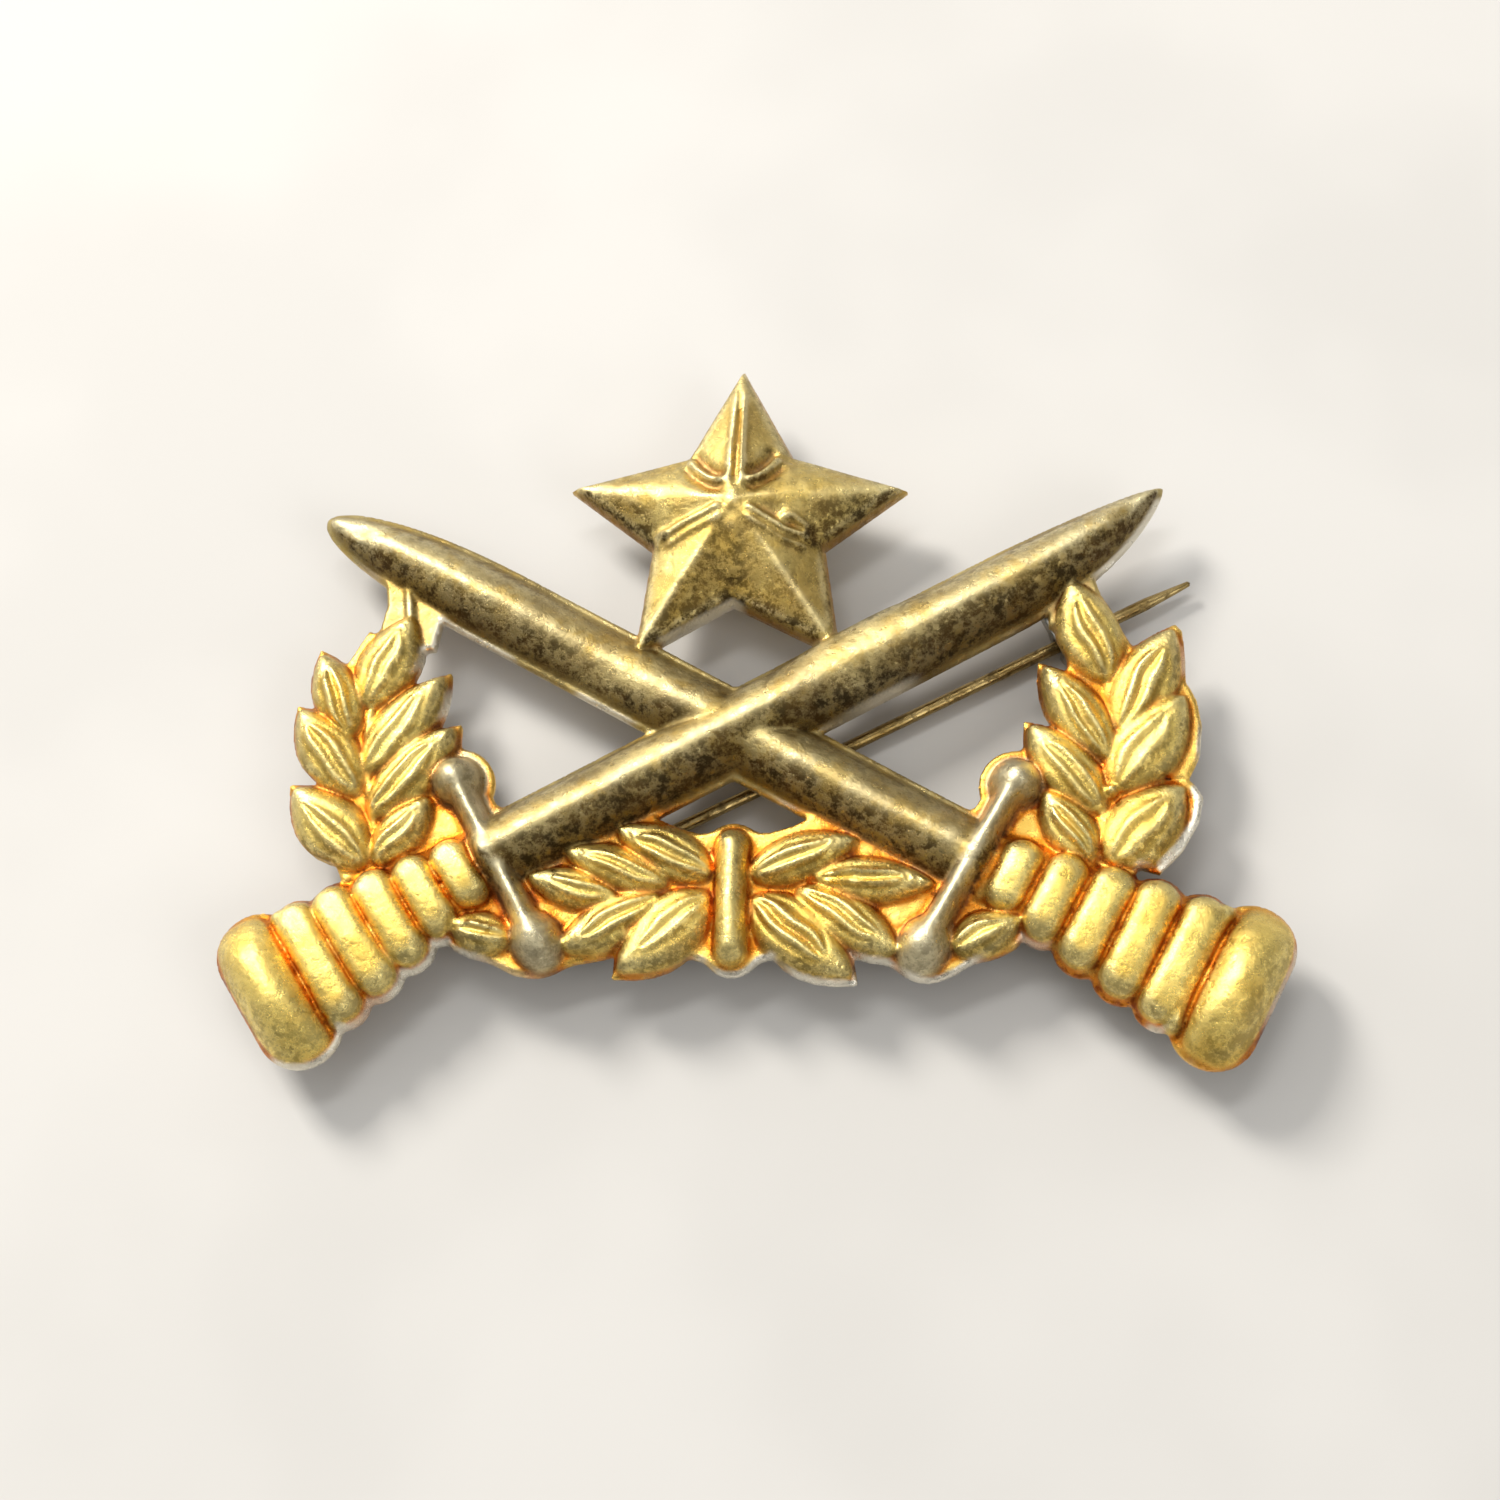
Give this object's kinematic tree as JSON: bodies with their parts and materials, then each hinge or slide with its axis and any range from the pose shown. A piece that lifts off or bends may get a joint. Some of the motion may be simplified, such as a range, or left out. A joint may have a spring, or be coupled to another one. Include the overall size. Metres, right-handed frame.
{
  "type": "cap badge",
  "caption": "Two-tone struck cap badge of star, crossed swords and laurel wreath, hollow behind, with a hinged pin and a roll-over catch.",
  "frame": {"origin": "under the middle of the badge, at the height of the lowest point of its catch, which it lies on", "axes": "+Z out of the struck face, +Y towards the star as worn, +X to the right of someone who looks at the face"},
  "size_m": [0.0646, 0.0456, 0.0073],
  "materials": {
    "struck_sheet": "struck brass, silvered swords and orange-gold lacquer elsewhere, tarnished and worn on the ridges",
    "fitting_brass": "dull brass with brown tarnish",
    "rivet_metal": "burnished brass",
    "pin_metal": "drawn wire, warm grey, lightly tarnished",
    "sleeve_metal": "plated sleeve, worn",
    "solder": "soft solder, dull grey"
  },
  "bodies": {
    "face": {"struck_face": "struck_sheet", "hinge_base_plate": "fitting_brass", "hinge_solder": "solder", "hinge_bracket": "fitting_brass", "hinge_rivet": "rivet_metal", "catch_base_plate": "fitting_brass", "catch_solder": "solder", "catch_barrel": "fitting_brass"},
    "pin": {"pin_wire": "pin_metal"},
    "catch_lock": {"catch_lock_sleeve": "sleeve_metal"}
  },
  "joints": [
    {"name": "pin_swing", "type": "hinge", "parent": "face", "child": "pin", "pos_m": [-0.01043, -0.01011, 0.00122], "axis": [-0.4446, 0.8957, 0], "range_deg": [0, 110]},
    {"name": "catch_turn", "type": "hinge", "parent": "face", "child": "catch_lock", "pos_m": [0.02038, 0.00519, 0.00122], "axis": [-0.8957, -0.4446, 0], "range_deg": [0, 120]}
  ]
}
